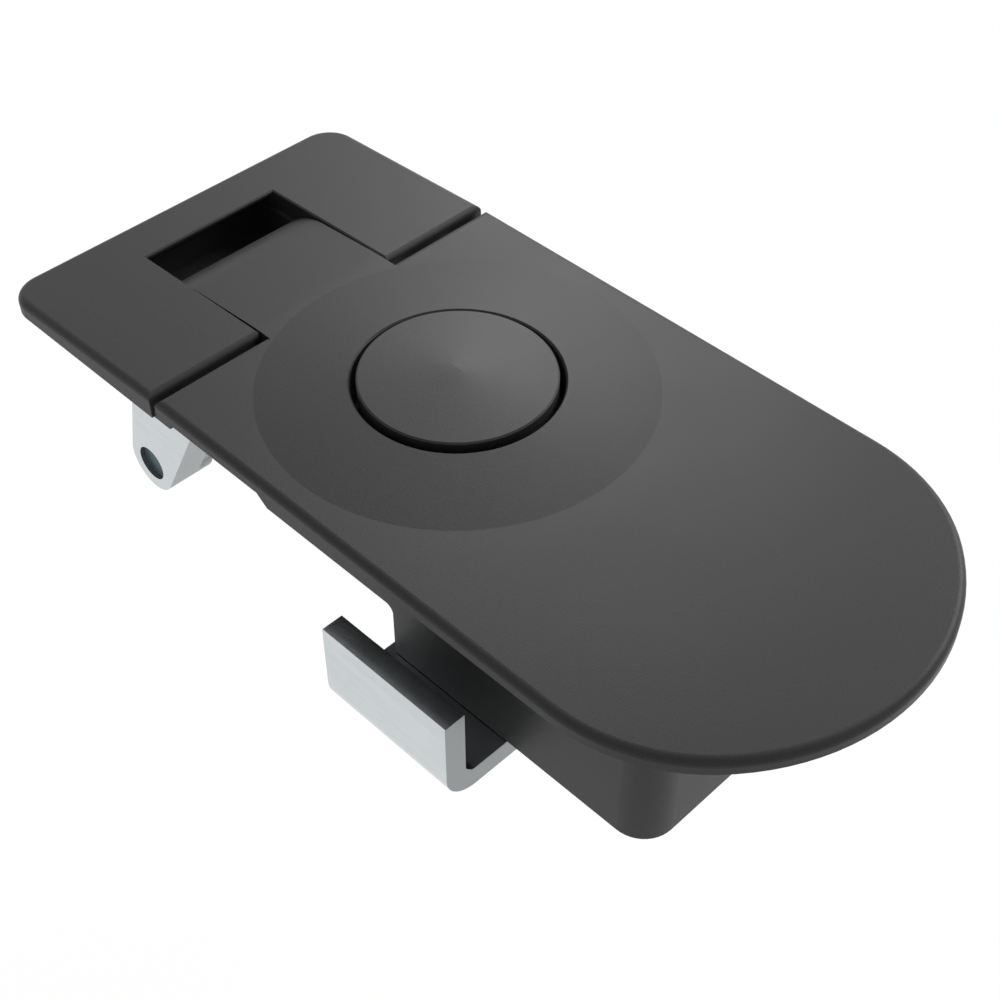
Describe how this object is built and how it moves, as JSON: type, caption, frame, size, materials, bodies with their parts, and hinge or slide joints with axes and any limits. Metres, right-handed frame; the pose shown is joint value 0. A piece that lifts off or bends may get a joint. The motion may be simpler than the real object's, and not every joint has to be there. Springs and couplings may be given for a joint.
{
  "type": "compression latch",
  "caption": "Flush lift-and-turn compression latch for a panel door, with a hinged lever plate, a push-button catch in a domed faceplate, and a hook that turns away.",
  "frame": {"origin": "centre of the round dome, on the plane of the faceplate's top", "axes": "+X along the plate towards its rounded end, away from the lever; +Z out of the panel, towards the user; the hook's arm stands on the -Y side"},
  "size_m": [0.1227, 0.0598, 0.033],
  "materials": {
    "coat": "fine matte powder coat, dark grey",
    "inner_coat": "matte powder coat, black grey",
    "zinc": "bright zinc plated, lightly grained",
    "cast_zinc": "die cast, satin",
    "pin_steel": "turned steel, darker end face",
    "fastener": "zinc plated",
    "sintered": "sintered steel, oiled",
    "spring_steel": "spring steel, bright",
    "washer": "natural plastic, matte",
    "button": "fine matte powder coat, dark grey"
  },
  "bodies": {
    "housing": {"housing": "coat", "base_plate": "inner_coat", "base_screws": "fastener", "hinge_pins": "pin_steel", "cam_tube": "sintered", "cam_screws": "fastener", "thrust_washer": "washer", "button_spring": "spring_steel", "catch_leaf": "spring_steel", "catch_screw": "fastener"},
    "lever": {"lever_plate": "coat", "crank_arm_front": "zinc", "crank_arm_rear": "zinc", "crank_pins": "pin_steel", "lever_screws": "fastener"},
    "slide": {"draw_slide": "cast_zinc"},
    "sleeve": {"drive_sleeve": "sintered"},
    "hook": {"hook": "zinc", "hook_post": "pin_steel", "cross_pin": "pin_steel", "hook_washer": "fastener", "hook_nut": "fastener"},
    "button": {"push_button": "button", "button_clip": "spring_steel"}
  },
  "joints": [
    {"name": "lever_lift", "type": "hinge", "parent": "housing", "child": "lever", "pos_m": [-0.0275, 0, -0.003], "axis": [0, 1, 0], "range_deg": [0, 45]},
    {"name": "slide_draw", "type": "slide", "parent": "housing", "child": "slide", "axis": [-1, 0, 0], "range_m": [0, 0.0115]},
    {"name": "sleeve_turn", "type": "hinge", "parent": "housing", "child": "sleeve", "pos_m": [0.0206, 0, -0.008], "axis": [0, 0, 1], "range_deg": [-90.2, 0]},
    {"name": "hook_drop", "type": "slide", "parent": "sleeve", "child": "hook", "axis": [0, 0, -1], "range_m": [0, 0.01142]},
    {"name": "button_press", "type": "slide", "parent": "housing", "child": "button", "axis": [0, 0, -1], "range_m": [0, 0.0015], "stiffness_N_per_m": 800, "springref_m": -0.0005, "deforming": ["button_spring", "catch_leaf"]}
  ],
  "couplings": [
    {"joint": "slide_draw", "follows": "lever_lift", "m_per_rad": 0.01459},
    {"joint": "sleeve_turn", "follows": "lever_lift", "ratio": -2},
    {"joint": "hook_drop", "follows": "lever_lift", "m_per_rad": 0.014515}
  ]
}
